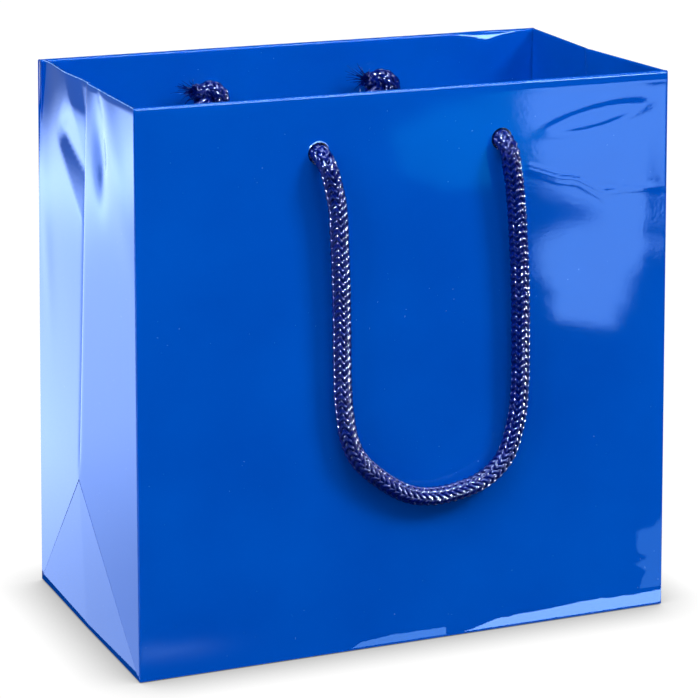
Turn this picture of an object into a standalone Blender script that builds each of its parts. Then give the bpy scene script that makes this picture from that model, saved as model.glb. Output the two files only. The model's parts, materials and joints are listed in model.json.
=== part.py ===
"""Gift bag of laminated paper with two knotted cord handles.

Metres, +Z up. The origin is the centre of the base, on the ground. The front wall faces -Y.
The walls lean in a little towards the mouth, and each side wall is a gusset: two halves that
fold inwards on a centre crease above a triangle that folds in over the base.
"""

import math

import bpy
from mathutils import Matrix, Vector

# Driving dimensions
BASE_WIDTH = 0.165
BASE_DEPTH = 0.092
HEIGHT = 0.161
MOUTH_INSET_X = 0.002  # how much narrower the mouth is than the base, each side
MOUTH_INSET_Y = 0.003
PAPER = 0.0004
BOARD = 0.0008
GAP = 0.0003

# Rim: turned-in hem with a stiffening board inside it
HEM_HEIGHT = 0.038
RIM_BOARD_HEIGHT = 0.030
RIM_BOARD_DROP = 0.0015

# Bottom: glued flaps and a loose board
FLAP_INSET = 0.0010
OUTER_FLAP_REACH = 0.070
SIDE_FLAP_REACH = 0.040
FLAP_CHAMFER = 0.022
BASE_BOARD_INSET = 0.0025

# Glued seam inside the right rear gusset half
SEAM_WIDTH = 0.014
SEAM_FOOT = 0.022

# Handle cords
CORD_DIAMETER = 0.0055
HOLE_SPACING = 0.0554
HOLE_DROP = 0.0160
HOLE_RADIUS = CORD_DIAMETER / 2 + 0.00035
HANDLE_STANDOFF = 0.0050  # from the wall's outer face to the hanging cord's centre
CORD_STEP = 0.0125
KNOT_RADIUS = 0.0062
KNOT_HALF_DEPTH = 0.0048
TAIL_LENGTH = 0.0065

# Route of a hanging loop, seen from outside the bag: (x, z) through the cord's centre
LOOP_ROUTE = [
    (-0.0256, 0.1375), (-0.0242, 0.1310), (-0.0237, 0.1240), (-0.0231, 0.1100),
    (-0.0228, 0.0970), (-0.0226, 0.0820), (-0.0220, 0.0730), (-0.0204, 0.0640),
    (-0.0172, 0.0575), (-0.0114, 0.0518), (-0.0040, 0.0467), (0.0035, 0.0444),
    (0.0123, 0.0447), (0.0217, 0.0475), (0.0285, 0.0540), (0.0317, 0.0650),
    (0.0325, 0.0760), (0.0324, 0.0890), (0.0319, 0.1046), (0.0309, 0.1196),
    (0.0296, 0.1325), (0.0286, 0.1380),
]

PAPER_BLUE = (0.004, 0.080, 0.520, 1.0)
LINING_WHITE = (0.82, 0.83, 0.84, 1.0)
BOARD_WHITE = (0.74, 0.73, 0.70, 1.0)
CORD_NAVY = (0.008, 0.020, 0.180, 1.0)

HALF_WIDTH = BASE_WIDTH / 2
HALF_DEPTH = BASE_DEPTH / 2
HEM_STACK = PAPER + GAP + BOARD + GAP + PAPER  # wall, rim board and hem of a front or rear wall


def start_clean():
    """Remove the scene's objects, and make collections for the parts and their cutters."""
    for obj in list(bpy.data.objects):
        bpy.data.objects.remove(obj, do_unlink=True)
    made = []
    for name in ("gift_bag", "gift_bag_cutters"):
        made.append(bpy.data.collections.new(name))
        bpy.context.scene.collection.children.link(made[-1])
    return made


def finish_material(name, color, roughness):
    material = bpy.data.materials.new(name)
    material.use_nodes = True
    shader = material.node_tree.nodes["Principled BSDF"]
    shader.inputs["Base Color"].default_value = color
    shader.inputs["Roughness"].default_value = roughness
    shader.inputs["Metallic"].default_value = 0.0
    return material


def wall_frame(x, y, lean, turn):
    """Frame of a wall: local X along it, local Y up its slope, local Z outwards."""
    return (
        Matrix.Translation((x, y, 0.0))
        @ Matrix.Rotation(turn, 4, "Z")
        @ Matrix.Rotation(math.pi / 2 - lean, 4, "X")
    )


class Wall:
    """One of the four walls, described by its base half-width, mouth inset and lean."""

    def __init__(self, half, inset, lean_inset, x, y, turn):
        self.half = half
        self.inset = inset
        self.slope = math.hypot(HEIGHT, lean_inset)
        self.frame = wall_frame(x, y, math.atan2(lean_inset, HEIGHT), turn)

    def edge(self, v):
        """Half-width of the wall at a height v up its slope."""
        return self.half - self.inset * v / self.slope


class Bag:
    def __init__(self):
        self.parts, self.cutters = start_clean()
        self.paper = finish_material("gloss_blue_paper", PAPER_BLUE, 0.12)
        self.lining = finish_material("white_paper", LINING_WHITE, 0.75)
        self.board = finish_material("greyboard", BOARD_WHITE, 0.85)
        self.cord = finish_material("knitted_cord", CORD_NAVY, 0.35)

    def pivot(self, name, frame, parent=None):
        """An empty on a joint's axis."""
        empty = bpy.data.objects.new(name, None)
        self.parts.objects.link(empty)
        self.attach(empty, frame, parent)
        return empty

    def attach(self, obj, frame, parent):
        """Place an object by its world frame, as a child of an empty."""
        bpy.context.view_layer.update()
        if parent is not None:
            obj.parent = parent
            obj.matrix_parent_inverse = parent.matrix_world.inverted()
        obj.matrix_basis = frame
        bpy.context.view_layer.update()

    def adopt(self, obj, name, collection):
        """Name a new primitive and move it into one of the bag's collections."""
        obj.name = name
        obj.data.name = name
        for holder in list(obj.users_collection):
            holder.objects.unlink(obj)
        collection.objects.link(obj)
        return obj

    def plate(self, name, outline, depth, thickness, frame, parent, material, holes=()):
        """A flat sheet: its outer face lies `depth` inside the frame's plane."""
        shape = bpy.data.curves.new(name, "CURVE")
        shape.dimensions = "2D"
        shape.fill_mode = "BOTH"
        shape.extrude = thickness / 2
        border = shape.splines.new("POLY")
        border.points.add(len(outline) - 1)
        for point, (u, v) in zip(border.points, outline):
            point.co = (u, v, 0.0, 1.0)
        border.use_cyclic_u = True
        for u, v in holes:
            add_round_hole(shape, u, v, HOLE_RADIUS)
        shape.materials.append(material)
        obj = bpy.data.objects.new(name, shape)
        self.parts.objects.link(obj)
        middle = Matrix.Translation((0.0, 0.0, -depth - thickness / 2))
        self.attach(obj, frame @ middle, parent)
        return obj


def add_round_hole(shape, u, v, radius):
    """A circle of four Bezier arcs inside a filled outline."""
    ring = shape.splines.new("BEZIER")
    ring.bezier_points.add(3)
    ring.resolution_u = 5
    handle = radius * 4.0 / 3.0 * (math.sqrt(2.0) - 1.0)
    for k, point in enumerate(ring.bezier_points):
        out = Vector((math.cos(k * math.pi / 2), math.sin(k * math.pi / 2), 0.0))
        along = Vector((-out.y, out.x, 0.0))
        centre = Vector((u, v, 0.0)) + out * radius
        point.handle_left_type = "FREE"
        point.handle_right_type = "FREE"
        point.co = centre
        point.handle_left = centre - along * handle
        point.handle_right = centre + along * handle
    ring.use_cyclic_u = True


def band(wall, low, high, side_inset):
    """Outline of a strip across a wall between two heights, kept in from its edges."""
    left_low = wall.edge(low) - side_inset
    left_high = wall.edge(high) - side_inset
    return [(-left_low, low), (left_low, low), (left_high, high), (-left_high, high)]


def smooth_route(points, step):
    """Points `step` apart along a smooth curve through the given ones."""
    dense = []
    ends = [2 * points[0] - points[1], *points, 2 * points[-1] - points[-2]]
    for a, b, c, d in zip(ends, ends[1:], ends[2:], ends[3:]):
        for k in range(16):
            t = k / 16
            dense.append(
                0.5
                * (
                    2 * b
                    + (c - a) * t
                    + (2 * a - 5 * b + 4 * c - d) * t**2
                    + (3 * b - a - 3 * c + d) * t**3
                )
            )
    dense.append(points[-1])
    travelled = [0.0]
    for a, b in zip(dense, dense[1:]):
        travelled.append(travelled[-1] + (b - a).length)
    count = round(travelled[-1] / step)
    result = []
    k = 0
    for n in range(count + 1):
        target = travelled[-1] * n / count
        while k < len(dense) - 2 and travelled[k + 1] < target:
            k += 1
        share = (target - travelled[k]) / (travelled[k + 1] - travelled[k])
        result.append(dense[k].lerp(dense[k + 1], min(max(share, 0.0), 1.0)))
    return result


def add_base(bag):
    """Glued bottom flaps, outermost first, and the loose board that lies on them."""
    root = bag.pivot("base_origin", Matrix.Identity(4))
    edge_x = HALF_WIDTH - FLAP_INSET
    edge_y = HALF_DEPTH - FLAP_INSET
    flat = Matrix.Identity(4)
    free = OUTER_FLAP_REACH - edge_y
    outer = [
        (-edge_x, -edge_y), (edge_x, -edge_y), (edge_x, free - FLAP_CHAMFER),
        (edge_x - FLAP_CHAMFER, free), (FLAP_CHAMFER - edge_x, free),
        (-edge_x, free - FLAP_CHAMFER),
    ]
    half_turn = Matrix.Rotation(math.pi, 4, "Z")
    level = -PAPER
    bag.plate("bottom_front_flap", outer, level, PAPER, flat, root, bag.paper)
    level -= PAPER + GAP
    bag.plate("bottom_rear_flap", outer, level, PAPER, half_turn, root, bag.lining)
    level -= PAPER + GAP
    reach = edge_x - SIDE_FLAP_REACH
    side = [
        (-edge_x, -edge_y), (-reach, SIDE_FLAP_REACH - edge_y),
        (-reach, edge_y - SIDE_FLAP_REACH), (-edge_x, edge_y),
    ]
    bag.plate("bottom_left_flap", side, level, PAPER, flat, root, bag.lining)
    bag.plate("bottom_right_flap", side, level, PAPER, half_turn, root, bag.lining)
    level -= BOARD + GAP
    board_x = HALF_WIDTH - BASE_BOARD_INSET
    board_y = HALF_DEPTH - BASE_BOARD_INSET
    board = [(-board_x, -board_y), (board_x, -board_y), (board_x, board_y), (-board_x, board_y)]
    bag.plate("base_board", board, level, BOARD, flat, root, bag.board)
    return root


def add_stub(bag, name, frame, parent):
    """The cord where it passes through a hole: a rod with a round outer end on the pivot."""
    radius = CORD_DIAMETER / 2
    inner = -(HEM_STACK + HANDLE_STANDOFF)
    rings = 5
    profile = []
    for k in range(rings):
        angle = math.pi / 2 * (1 - k / rings)
        profile.append((radius * math.cos(angle), 0.0, radius * math.sin(angle)))
    profile += [(radius, 0.0, 0.0), (radius, 0.0, inner), (0.0, 0.0, inner)]
    mesh = bpy.data.meshes.new(name)
    mesh.from_pydata(profile, [(k, k + 1) for k in range(len(profile) - 1)], [])
    mesh.materials.append(bag.cord)
    obj = bpy.data.objects.new(name, mesh)
    bag.parts.objects.link(obj)
    screw = obj.modifiers.new("turn", "SCREW")
    screw.steps = 16
    screw.render_steps = 16
    screw.use_merge_vertices = True
    screw.merge_threshold = 0.00001
    bag.attach(obj, frame, parent)
    return obj


def add_knot(bag, name, frame, side, parent):
    """A knot inside the wall, with the cord's short cut end pointing sideways."""
    bpy.ops.mesh.primitive_uv_sphere_add(segments=20, ring_count=12, radius=1.0)
    obj = bag.adopt(bpy.context.object, name, bag.parts)
    obj.data.transform(Matrix.Diagonal((KNOT_RADIUS, KNOT_RADIUS, KNOT_HALF_DEPTH, 1.0)))
    length = KNOT_RADIUS + TAIL_LENGTH
    bpy.ops.mesh.primitive_cylinder_add(vertices=12, radius=CORD_DIAMETER / 2, depth=length)
    tail = bag.adopt(bpy.context.object, f"{name}_tail_form", bag.cutters)
    tail.data.transform(
        Matrix.Translation((side * length / 2, 0.0, 0.0)) @ Matrix.Rotation(math.pi / 2, 4, "Y")
    )
    tail.hide_render = True
    tail.display_type = "WIRE"
    obj.data.materials.append(bag.cord)
    join = obj.modifiers.new("tail", "BOOLEAN")
    join.operation = "UNION"
    join.object = tail
    bag.attach(obj, frame, parent)
    bag.attach(tail, frame, parent)
    return obj


def add_loop(bag, name, frame, pivot_height):
    """The hanging cord loop on its swinging pivot; its ends stop just below the stubs."""
    pivot = bag.pivot(f"{name}_pivot", frame)
    drop = CORD_DIAMETER / 2 + GAP
    half = HOLE_SPACING / 2
    start = Vector((-half, 0.0, -drop))
    end = Vector((half, 0.0, -drop))
    middle = [Vector((x, 0.0, z - pivot_height)) for x, z in LOOP_ROUTE]
    route = smooth_route([start, *middle, end], CORD_STEP)
    shape = bpy.data.curves.new(name, "CURVE")
    shape.dimensions = "3D"
    shape.bevel_depth = CORD_DIAMETER / 2
    shape.bevel_resolution = 3
    shape.use_fill_caps = True
    line = shape.splines.new("POLY")
    line.points.add(len(route) - 1)
    for point, place in zip(line.points, route):
        point.co = (*place, 1.0)
    shape.materials.append(bag.cord)
    obj = bpy.data.objects.new(name, shape)
    bag.parts.objects.link(obj)
    bag.attach(obj, frame, pivot)
    return obj


def add_cord_wall(bag, prefix, y, turn):
    """A front or rear wall with its rim board, hem, holes, knots and handle."""
    wall = Wall(HALF_WIDTH, MOUTH_INSET_X, MOUTH_INSET_Y, 0.0, y, turn)
    pivot = bag.pivot(f"{prefix}_wall_hinge", wall.frame)
    hole_v = wall.slope - HOLE_DROP
    half = HOLE_SPACING / 2
    holes = [(-half, hole_v), (half, hole_v)]
    skin = band(wall, GAP, wall.slope, 0.0)
    bag.plate(f"{prefix}_panel", skin, 0.0, PAPER, wall.frame, pivot, bag.paper, holes)
    depth = PAPER + GAP
    clear = PAPER + 2 * GAP
    top = wall.slope - RIM_BOARD_DROP
    core = band(wall, top - RIM_BOARD_HEIGHT, top, clear)
    bag.plate(f"{prefix}_rim_board", core, depth, BOARD, wall.frame, pivot, bag.board, holes)
    depth += BOARD + GAP
    hem = band(wall, wall.slope - HEM_HEIGHT, wall.slope, clear)
    bag.plate(f"{prefix}_hem", hem, depth, PAPER, wall.frame, pivot, bag.paper, holes)
    for word, sign in (("left", -1), ("right", 1)):
        side = sign if prefix == "front" else -sign
        outer = wall.frame @ Matrix.Translation((side * half, hole_v, HANDLE_STANDOFF))
        add_stub(bag, f"{prefix}_cord_stub_{word}", outer, pivot)
        inner = -(HEM_STACK + GAP + KNOT_HALF_DEPTH)
        knot = wall.frame @ Matrix.Translation((side * half, hole_v, inner))
        add_knot(bag, f"{prefix}_knot_{word}", knot, side, pivot)
    hang = wall.frame @ Vector((0.0, hole_v, HANDLE_STANDOFF))
    swing = Matrix.Translation(hang) @ Matrix.Rotation(turn, 4, "Z")
    add_loop(bag, f"{prefix}_handle_cord", swing, hang.z)
    return wall


def gusset_half(wall, sign):
    """Half of a side wall: the corner crease, the diagonal fold and the centre crease."""
    clear = PAPER + GAP
    rise = GAP * math.sqrt(2.0)
    low_corner = wall.half - clear
    points = [
        (low_corner, clear + rise), (wall.edge(wall.slope) - clear, wall.slope),
        (GAP / 2, wall.slope), (GAP / 2, wall.half - GAP / 2 + rise),
    ]
    return [(sign * u, v) for u, v in points]


def gusset_hem(wall, sign):
    """The turned-in hem of a gusset half, between the centre crease and the wall's hem."""
    clear = HEM_STACK + GAP
    low = wall.slope - HEM_HEIGHT
    points = [
        (wall.edge(low) - clear, low), (wall.edge(wall.slope) - clear, wall.slope),
        (GAP / 2, wall.slope), (GAP / 2, low),
    ]
    return [(sign * u, v) for u, v in points]


def add_side(bag, prefix, x, turn):
    """A gusseted side wall: two folding halves above a base triangle."""
    wall = Wall(HALF_DEPTH, MOUTH_INSET_Y, MOUTH_INSET_X, x, 0.0, turn)
    clear = PAPER + GAP
    for word, y_sign in (("front", -1), ("rear", 1)):
        sign = -y_sign if prefix == "left" else y_sign
        corner = wall.frame @ Matrix.Translation((sign * wall.half, 0.0, 0.0))
        crease = bag.pivot(f"{prefix}_{word}_crease", corner)
        name = f"{prefix}_{word}_gusset"
        bag.plate(name, gusset_half(wall, sign), 0.0, PAPER, wall.frame, crease, bag.paper)
        hem = gusset_hem(wall, sign)
        bag.plate(f"{name}_hem", hem, clear, PAPER, wall.frame, crease, bag.paper)
        if (prefix, word) == ("right", "rear"):
            high = wall.slope - HEM_HEIGHT - GAP
            outer = wall.edge(high) - clear - GAP
            inner = outer - SEAM_WIDTH
            seam = [(inner, SEAM_FOOT), (outer, SEAM_FOOT), (outer, high), (inner, high)]
            seam = [(sign * u, v) for u, v in seam]
            bag.plate("side_seam_flap", seam, clear, PAPER, wall.frame, crease, bag.lining)
    fold = bag.pivot(f"{prefix}_base_fold", wall.frame)
    foot = wall.half - clear
    triangle = [(-foot, GAP), (foot, GAP), (0.0, wall.half - GAP)]
    name = f"{prefix}_base_triangle"
    bag.plate(name, triangle, 0.0, PAPER, wall.frame, fold, bag.paper)


def main():
    bag = Bag()
    add_base(bag)
    add_cord_wall(bag, "front", -HALF_DEPTH, 0.0)
    add_cord_wall(bag, "rear", HALF_DEPTH, math.pi)
    add_side(bag, "left", -HALF_WIDTH, -math.pi / 2)
    add_side(bag, "right", HALF_WIDTH, math.pi / 2)


main()
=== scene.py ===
"""Looks for the gloss paper gift bag: folded paper skins, knitted cords, knots and studio.

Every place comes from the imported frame. A wall has its own coordinates: u along it, v up its
slope and out along its outward normal, all in metres.
"""

import json
import math

import bmesh
import bpy
import numpy as np
from mathutils import Matrix, Vector


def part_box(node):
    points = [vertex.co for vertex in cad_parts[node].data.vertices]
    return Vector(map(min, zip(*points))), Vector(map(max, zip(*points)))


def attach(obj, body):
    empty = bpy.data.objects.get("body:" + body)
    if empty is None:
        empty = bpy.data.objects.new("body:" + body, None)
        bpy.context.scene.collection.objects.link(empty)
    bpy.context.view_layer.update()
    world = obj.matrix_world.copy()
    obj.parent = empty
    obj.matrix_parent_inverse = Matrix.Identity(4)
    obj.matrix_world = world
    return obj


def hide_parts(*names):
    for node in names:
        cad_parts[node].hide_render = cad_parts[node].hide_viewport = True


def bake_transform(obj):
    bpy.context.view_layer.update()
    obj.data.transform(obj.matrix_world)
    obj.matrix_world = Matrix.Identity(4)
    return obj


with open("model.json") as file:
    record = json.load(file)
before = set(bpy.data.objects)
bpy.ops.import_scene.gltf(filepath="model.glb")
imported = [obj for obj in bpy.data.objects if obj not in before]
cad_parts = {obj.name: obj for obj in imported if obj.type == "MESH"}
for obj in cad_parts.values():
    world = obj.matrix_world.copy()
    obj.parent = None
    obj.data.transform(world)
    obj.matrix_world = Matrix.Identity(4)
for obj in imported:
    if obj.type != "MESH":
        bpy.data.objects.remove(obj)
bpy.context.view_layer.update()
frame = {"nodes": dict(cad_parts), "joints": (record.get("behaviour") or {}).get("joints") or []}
MM = 0.001

# ---------------------------------------------------------------- sizes read from the frame
JOINTS = {joint["name"]: joint for joint in frame["joints"]}
PANEL_LOW, PANEL_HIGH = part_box("front_panel")
STUB_LOW, STUB_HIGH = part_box("front_cord_stub_right")
CREASE = JOINTS["left_front_gusset_fold"]["axis"]
HALF_WIDTH = -PANEL_LOW.x
HALF_DEPTH = -PANEL_LOW.y
HEIGHT = PANEL_HIGH.z
INSET_X = abs(CREASE[0] / CREASE[2]) * HEIGHT  # how far the sides lean in towards the mouth
INSET_Y = abs(CREASE[1] / CREASE[2]) * HEIGHT
PIVOT = Vector(JOINTS["front_handle_swing"]["pos_m"])
HOLE_X = (STUB_LOW.x + STUB_HIGH.x) / 2
WALL_FACE_Y = INSET_Y * PIVOT.z / HEIGHT - HALF_DEPTH  # front wall's outer face at its holes

# ---------------------------------------------------------------- sizes of the real make-up
PAPER = 0.4 * MM
RIM_THICK = 2.2 * MM  # folded rim of a front or rear wall, with its board
RIM_THIN = 1.1 * MM  # folded rim of a gusset, paper only
HEM_THICK = 2.2 * PAPER  # a front or rear wall with its hem, below the board
BOARD_FOOT = 31.5 * MM  # lower edge of the rim board, below the rim
HEM = 38 * MM
FOLD = 0.42 * MM  # radius of an upright corner crease
RIM_RISE = 0.5 * MM  # height of the rounding over the rim
FOOT_FOLD = 0.45 * MM  # radius of the crease round the bottom
FOOT = 0.12 * MM  # lower edge of the walls, above the floor
LAYER_GAP = 0.04 * MM  # air between sheets that lie on each other
FLAP_CHAMFER = 22 * MM  # length over which a front or rear bottom flap narrows
HOLE_RADIUS = 3.15 * MM

# ---------------------------------------------------------------- sizes of the knitted cords
CORD_REACH = 2.88 * MM  # from the centreline to the outermost stitches
YARN_RADIUS = 0.62 * MM
KNOT_CORD_REACH = 2.55 * MM  # the cord is pulled thinner in its knots
KNOT_YARN_RADIUS = 0.58 * MM
WALES = 5  # columns of stitches round the cord
COURSE = 2.05 * MM  # distance between stitches along it
STITCH_SAMPLES = 14
STITCH_SWING = 0.31  # how far a stitch swings sideways, in wales
STITCH_RISE = 0.66  # how far it reaches along the cord, in courses
STITCH_SINK = 0.42  # how deep its crossings sink, in yarn radii
YARN_SIDES = 8
YARN_FLATNESS = 0.86
CORE_SHARE = 0.60  # the filled core's radius as a share of the cord's
FILAMENTS = 46  # loose ends at a cut end
CORD_OUT = 2.6 * MM  # how far before the wall a cord turns down
CORD_DOWN = 3.4 * MM  # how far below its hole it hangs free
KNOT_SIZE = 1.95 * MM
LOOP_ROUTE = [
    (-0.0256, 0.1375), (-0.0242, 0.1310), (-0.0237, 0.1240), (-0.0231, 0.1100),
    (-0.0228, 0.0970), (-0.0226, 0.0820), (-0.0220, 0.0730), (-0.0204, 0.0640),
    (-0.0172, 0.0575), (-0.0114, 0.0518), (-0.0040, 0.0467), (0.0035, 0.0444),
    (0.0123, 0.0447), (0.0217, 0.0475), (0.0285, 0.0540), (0.0317, 0.0650),
    (0.0325, 0.0760), (0.0324, 0.0890), (0.0319, 0.1046), (0.0309, 0.1196),
    (0.0296, 0.1325), (0.0286, 0.1380),
]

# ---------------------------------------------------------------- camera
CAMERA_AT = Vector((-0.31888, -0.74742, 0.29785))
CAMERA_YAW = math.radians(23.105)
CAMERA_PITCH = math.radians(15.268)
CAMERA_ROLL = math.radians(0.199)
CAMERA_LENS = 146.74


def make_camera():
    data = bpy.data.cameras.new("camera")
    data.sensor_width = 36.0
    data.lens = CAMERA_LENS
    data.clip_start = 0.01
    data.clip_end = 20.0
    camera = bpy.data.objects.new("camera", data)
    bpy.context.scene.collection.objects.link(camera)
    turn = Matrix.Rotation(-CAMERA_YAW, 4, "Z")
    tilt = Matrix.Rotation(math.pi / 2 - CAMERA_PITCH, 4, "X")
    roll = Matrix.Rotation(CAMERA_ROLL, 4, "Z")
    camera.matrix_world = Matrix.Translation(CAMERA_AT) @ turn @ tilt @ roll
    bpy.context.scene.camera = camera


make_camera()


# ---------------------------------------------------------------- materials
class Nodes:
    """Short spelling for a material's node tree."""

    def __init__(self, name):
        self.material = bpy.data.materials.new(name)
        self.material.use_nodes = True
        self.tree = self.material.node_tree
        self.shader = self.tree.nodes["Principled BSDF"]

    def add(self, kind, **settings):
        node = self.tree.nodes.new(kind)
        for key, value in settings.items():
            if key in node.inputs:
                node.inputs[key].default_value = value
            else:
                setattr(node, key, value)
        return node

    def link(self, source, target):
        self.tree.links.new(source, target)

    def feed(self, source, socket_name):
        self.link(source, self.shader.inputs[socket_name])

    def fix(self, socket_name, value):
        self.shader.inputs[socket_name].default_value = value

    def place(self):
        return self.add("ShaderNodeTexCoord").outputs["Object"]

    def attribute(self, name):
        return self.add("ShaderNodeAttribute", attribute_name=name).outputs["Fac"]

    def noise(self, vector, scale, detail=3.0, rough=0.5, stretch=None):
        if stretch is not None:
            mapping = self.add("ShaderNodeMapping")
            mapping.inputs["Scale"].default_value = stretch
            self.link(vector, mapping.inputs["Vector"])
            vector = mapping.outputs["Vector"]
        node = self.add("ShaderNodeTexNoise", Scale=scale, Detail=detail, Roughness=rough)
        self.link(vector, node.inputs["Vector"])
        return node.outputs["Fac"]

    def ramp(self, value, low, high, to_low=0.0, to_high=1.0):
        node = self.add("ShaderNodeMapRange")
        node.inputs["From Min"].default_value = low
        node.inputs["From Max"].default_value = high
        node.inputs["To Min"].default_value = to_low
        node.inputs["To Max"].default_value = to_high
        self.link(value, node.inputs["Value"])
        return node.outputs["Result"]

    def math(self, operation, a, b):
        node = self.add("ShaderNodeMath", operation=operation)
        for socket, value in zip(node.inputs, (a, b)):
            if isinstance(value, (int, float)):
                socket.default_value = value
            else:
                self.link(value, socket)
        return node.outputs["Value"]

    def mix(self, share, a, b):
        node = self.add("ShaderNodeMix", data_type="RGBA")
        self.link(share, node.inputs[0])
        for socket, value in ((node.inputs[6], a), (node.inputs[7], b)):
            if isinstance(value, tuple):
                socket.default_value = (*value, 1.0)
            else:
                self.link(value, socket)
        return node.outputs[2]

    def bump(self, height, strength, distance, normal=None):
        node = self.add("ShaderNodeBump", Strength=strength, Distance=distance)
        self.link(height, node.inputs["Height"])
        if normal is not None:
            self.link(normal, node.inputs["Normal"])
        return node.outputs["Normal"]


def gloss_paper():
    """Deep blue print under a clear gloss film, whitened where the sheet is folded: part real wear,
    part painted highlight along the rim crests and the upright corner creases.
    """
    n = Nodes("gloss_blue_paper")
    at = n.place()
    wear_and_highlight = n.attribute("wear_and_highlight")
    cloud = n.ramp(n.noise(at, 22.0, 3.0), 0.3, 0.7)
    blue = n.mix(cloud, (0.0, 0.068, 0.475), (0.0, 0.084, 0.54))
    grain = n.noise(at, 1100.0, 3.0)
    # painted highlight mixed with real wear: where the fold whitening is high the blue turns pale,
    # then white
    reach = n.math("ADD", wear_and_highlight, n.math("MULTIPLY", grain, 0.7))
    blue = n.mix(n.ramp(reach, 0.85, 1.25), blue, (0.14, 0.34, 0.85))
    blue = n.mix(n.ramp(reach, 1.20, 1.50), blue, (0.84, 0.92, 1.0))
    specks = n.ramp(n.noise(at, 1300.0, 0.0), 0.865, 0.89)
    blue = n.mix(n.math("MULTIPLY", specks, 0.35), blue, (0.20, 0.38, 0.85))
    n.feed(blue, "Base Color")
    smear = n.ramp(n.noise(at, 60.0, 4.0), 0.3, 0.75, 0.03, 0.05)
    n.feed(n.math("ADD", smear, n.math("MULTIPLY", wear_and_highlight, 0.16)), "Roughness")
    n.fix("IOR", 1.5)
    n.fix("Specular IOR Level", 0.62)
    n.fix("Specular Tint", (0.30, 0.55, 1.0, 1.0))
    swell = n.noise(at, 95.0, 2.0, 0.5)
    peel = n.noise(at, 1000.0, 3.0, 0.6)
    normal = n.bump(swell, 0.015, 0.6 * MM)
    n.feed(n.bump(peel, 0.04, 0.12 * MM, normal), "Normal")
    return n.material


def plain_paper():
    """The uncoated white back of the sheet, with fibre mottling."""
    n = Nodes("white_paper")
    at = n.place()
    cloud = n.ramp(n.noise(at, 120.0, 5.0, 0.65), 0.3, 0.7)
    n.feed(n.mix(cloud, (0.74, 0.755, 0.77), (0.84, 0.85, 0.86)), "Base Color")
    n.feed(n.ramp(n.noise(at, 700.0, 3.0), 0.3, 0.7, 0.62, 0.82), "Roughness")
    fibres = n.noise(at, 1600.0, 4.0, 0.7)
    n.feed(n.bump(fibres, 0.25, 0.3 * MM), "Normal")
    return n.material


def greyboard():
    """Recycled board: warm grey with darker fibres."""
    n = Nodes("greyboard")
    at = n.place()
    cloud = n.ramp(n.noise(at, 90.0, 6.0, 0.7), 0.25, 0.75)
    base = n.mix(cloud, (0.47, 0.44, 0.39), (0.63, 0.60, 0.55))
    flecks = n.ramp(n.noise(at, 1400.0, 2.0, 0.6, (1.0, 0.3, 1.0)), 0.62, 0.72)
    n.feed(n.mix(flecks, base, (0.30, 0.28, 0.25)), "Base Color")
    n.feed(n.ramp(cloud, 0.0, 1.0, 0.78, 0.92), "Roughness")
    fibres = n.noise(at, 1100.0, 4.0, 0.7)
    n.feed(n.bump(fibres, 0.35, 0.4 * MM), "Normal")
    return n.material


def yarn():
    """Shiny filament yarn: fine filaments run along it, with painted shade darkening the hollows
    between them.
    """
    n = Nodes("knitted_cord")
    line = n.add("ShaderNodeUVMap", uv_map="yarn").outputs["UV"]
    strands = n.noise(line, 1.0, 3.0, 0.6, (1.6, 9.0, 1.0))
    # painted shade: darker where the filament noise, which also raises the bump, is low
    base = n.mix(n.ramp(strands, 0.3, 0.75), (0.0, 0.003, 0.075), (0.0, 0.010, 0.22))
    fade = n.ramp(n.noise(n.place(), 260.0, 2.0), 0.35, 0.7)
    base = n.mix(n.math("MULTIPLY", fade, 0.4), base, (0.0, 0.003, 0.06))
    n.feed(base, "Base Color")
    n.feed(n.ramp(strands, 0.3, 0.7, 0.12, 0.085), "Roughness")
    n.fix("IOR", 1.55)
    n.fix("Specular IOR Level", 0.36)
    n.fix("Specular Tint", (0.45, 0.62, 1.0, 1.0))
    n.feed(n.bump(strands, 0.07, 0.12 * MM), "Normal")
    return n.material


GLOSS = gloss_paper()
WHITE = plain_paper()
BOARD = greyboard()
YARN = yarn()


# ---------------------------------------------------------------- mesh helpers
def link_mesh(name, points, faces, materials, slots=None, smooth_angle=40):
    """A mesh object from points and faces, shaded smooth except at real corners."""
    mesh = bpy.data.meshes.new(name)
    mesh.from_pydata(np.asarray(points, float).tolist(), [], faces)
    for material in materials:
        mesh.materials.append(material)
    if slots is not None:
        mesh.polygons.foreach_set("material_index", np.array(slots, np.int32))
    mesh.shade_smooth()
    mesh.set_sharp_from_angle(angle=math.radians(smooth_angle))
    obj = bpy.data.objects.new(name, mesh)
    bpy.context.scene.collection.objects.link(obj)
    return obj


def face_outwards(obj):
    """Turns a closed mesh's faces outwards."""
    shape = bmesh.new()
    shape.from_mesh(obj.data)
    bmesh.ops.recalc_face_normals(shape, faces=shape.faces)
    shape.to_mesh(obj.data)
    shape.free()


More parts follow.
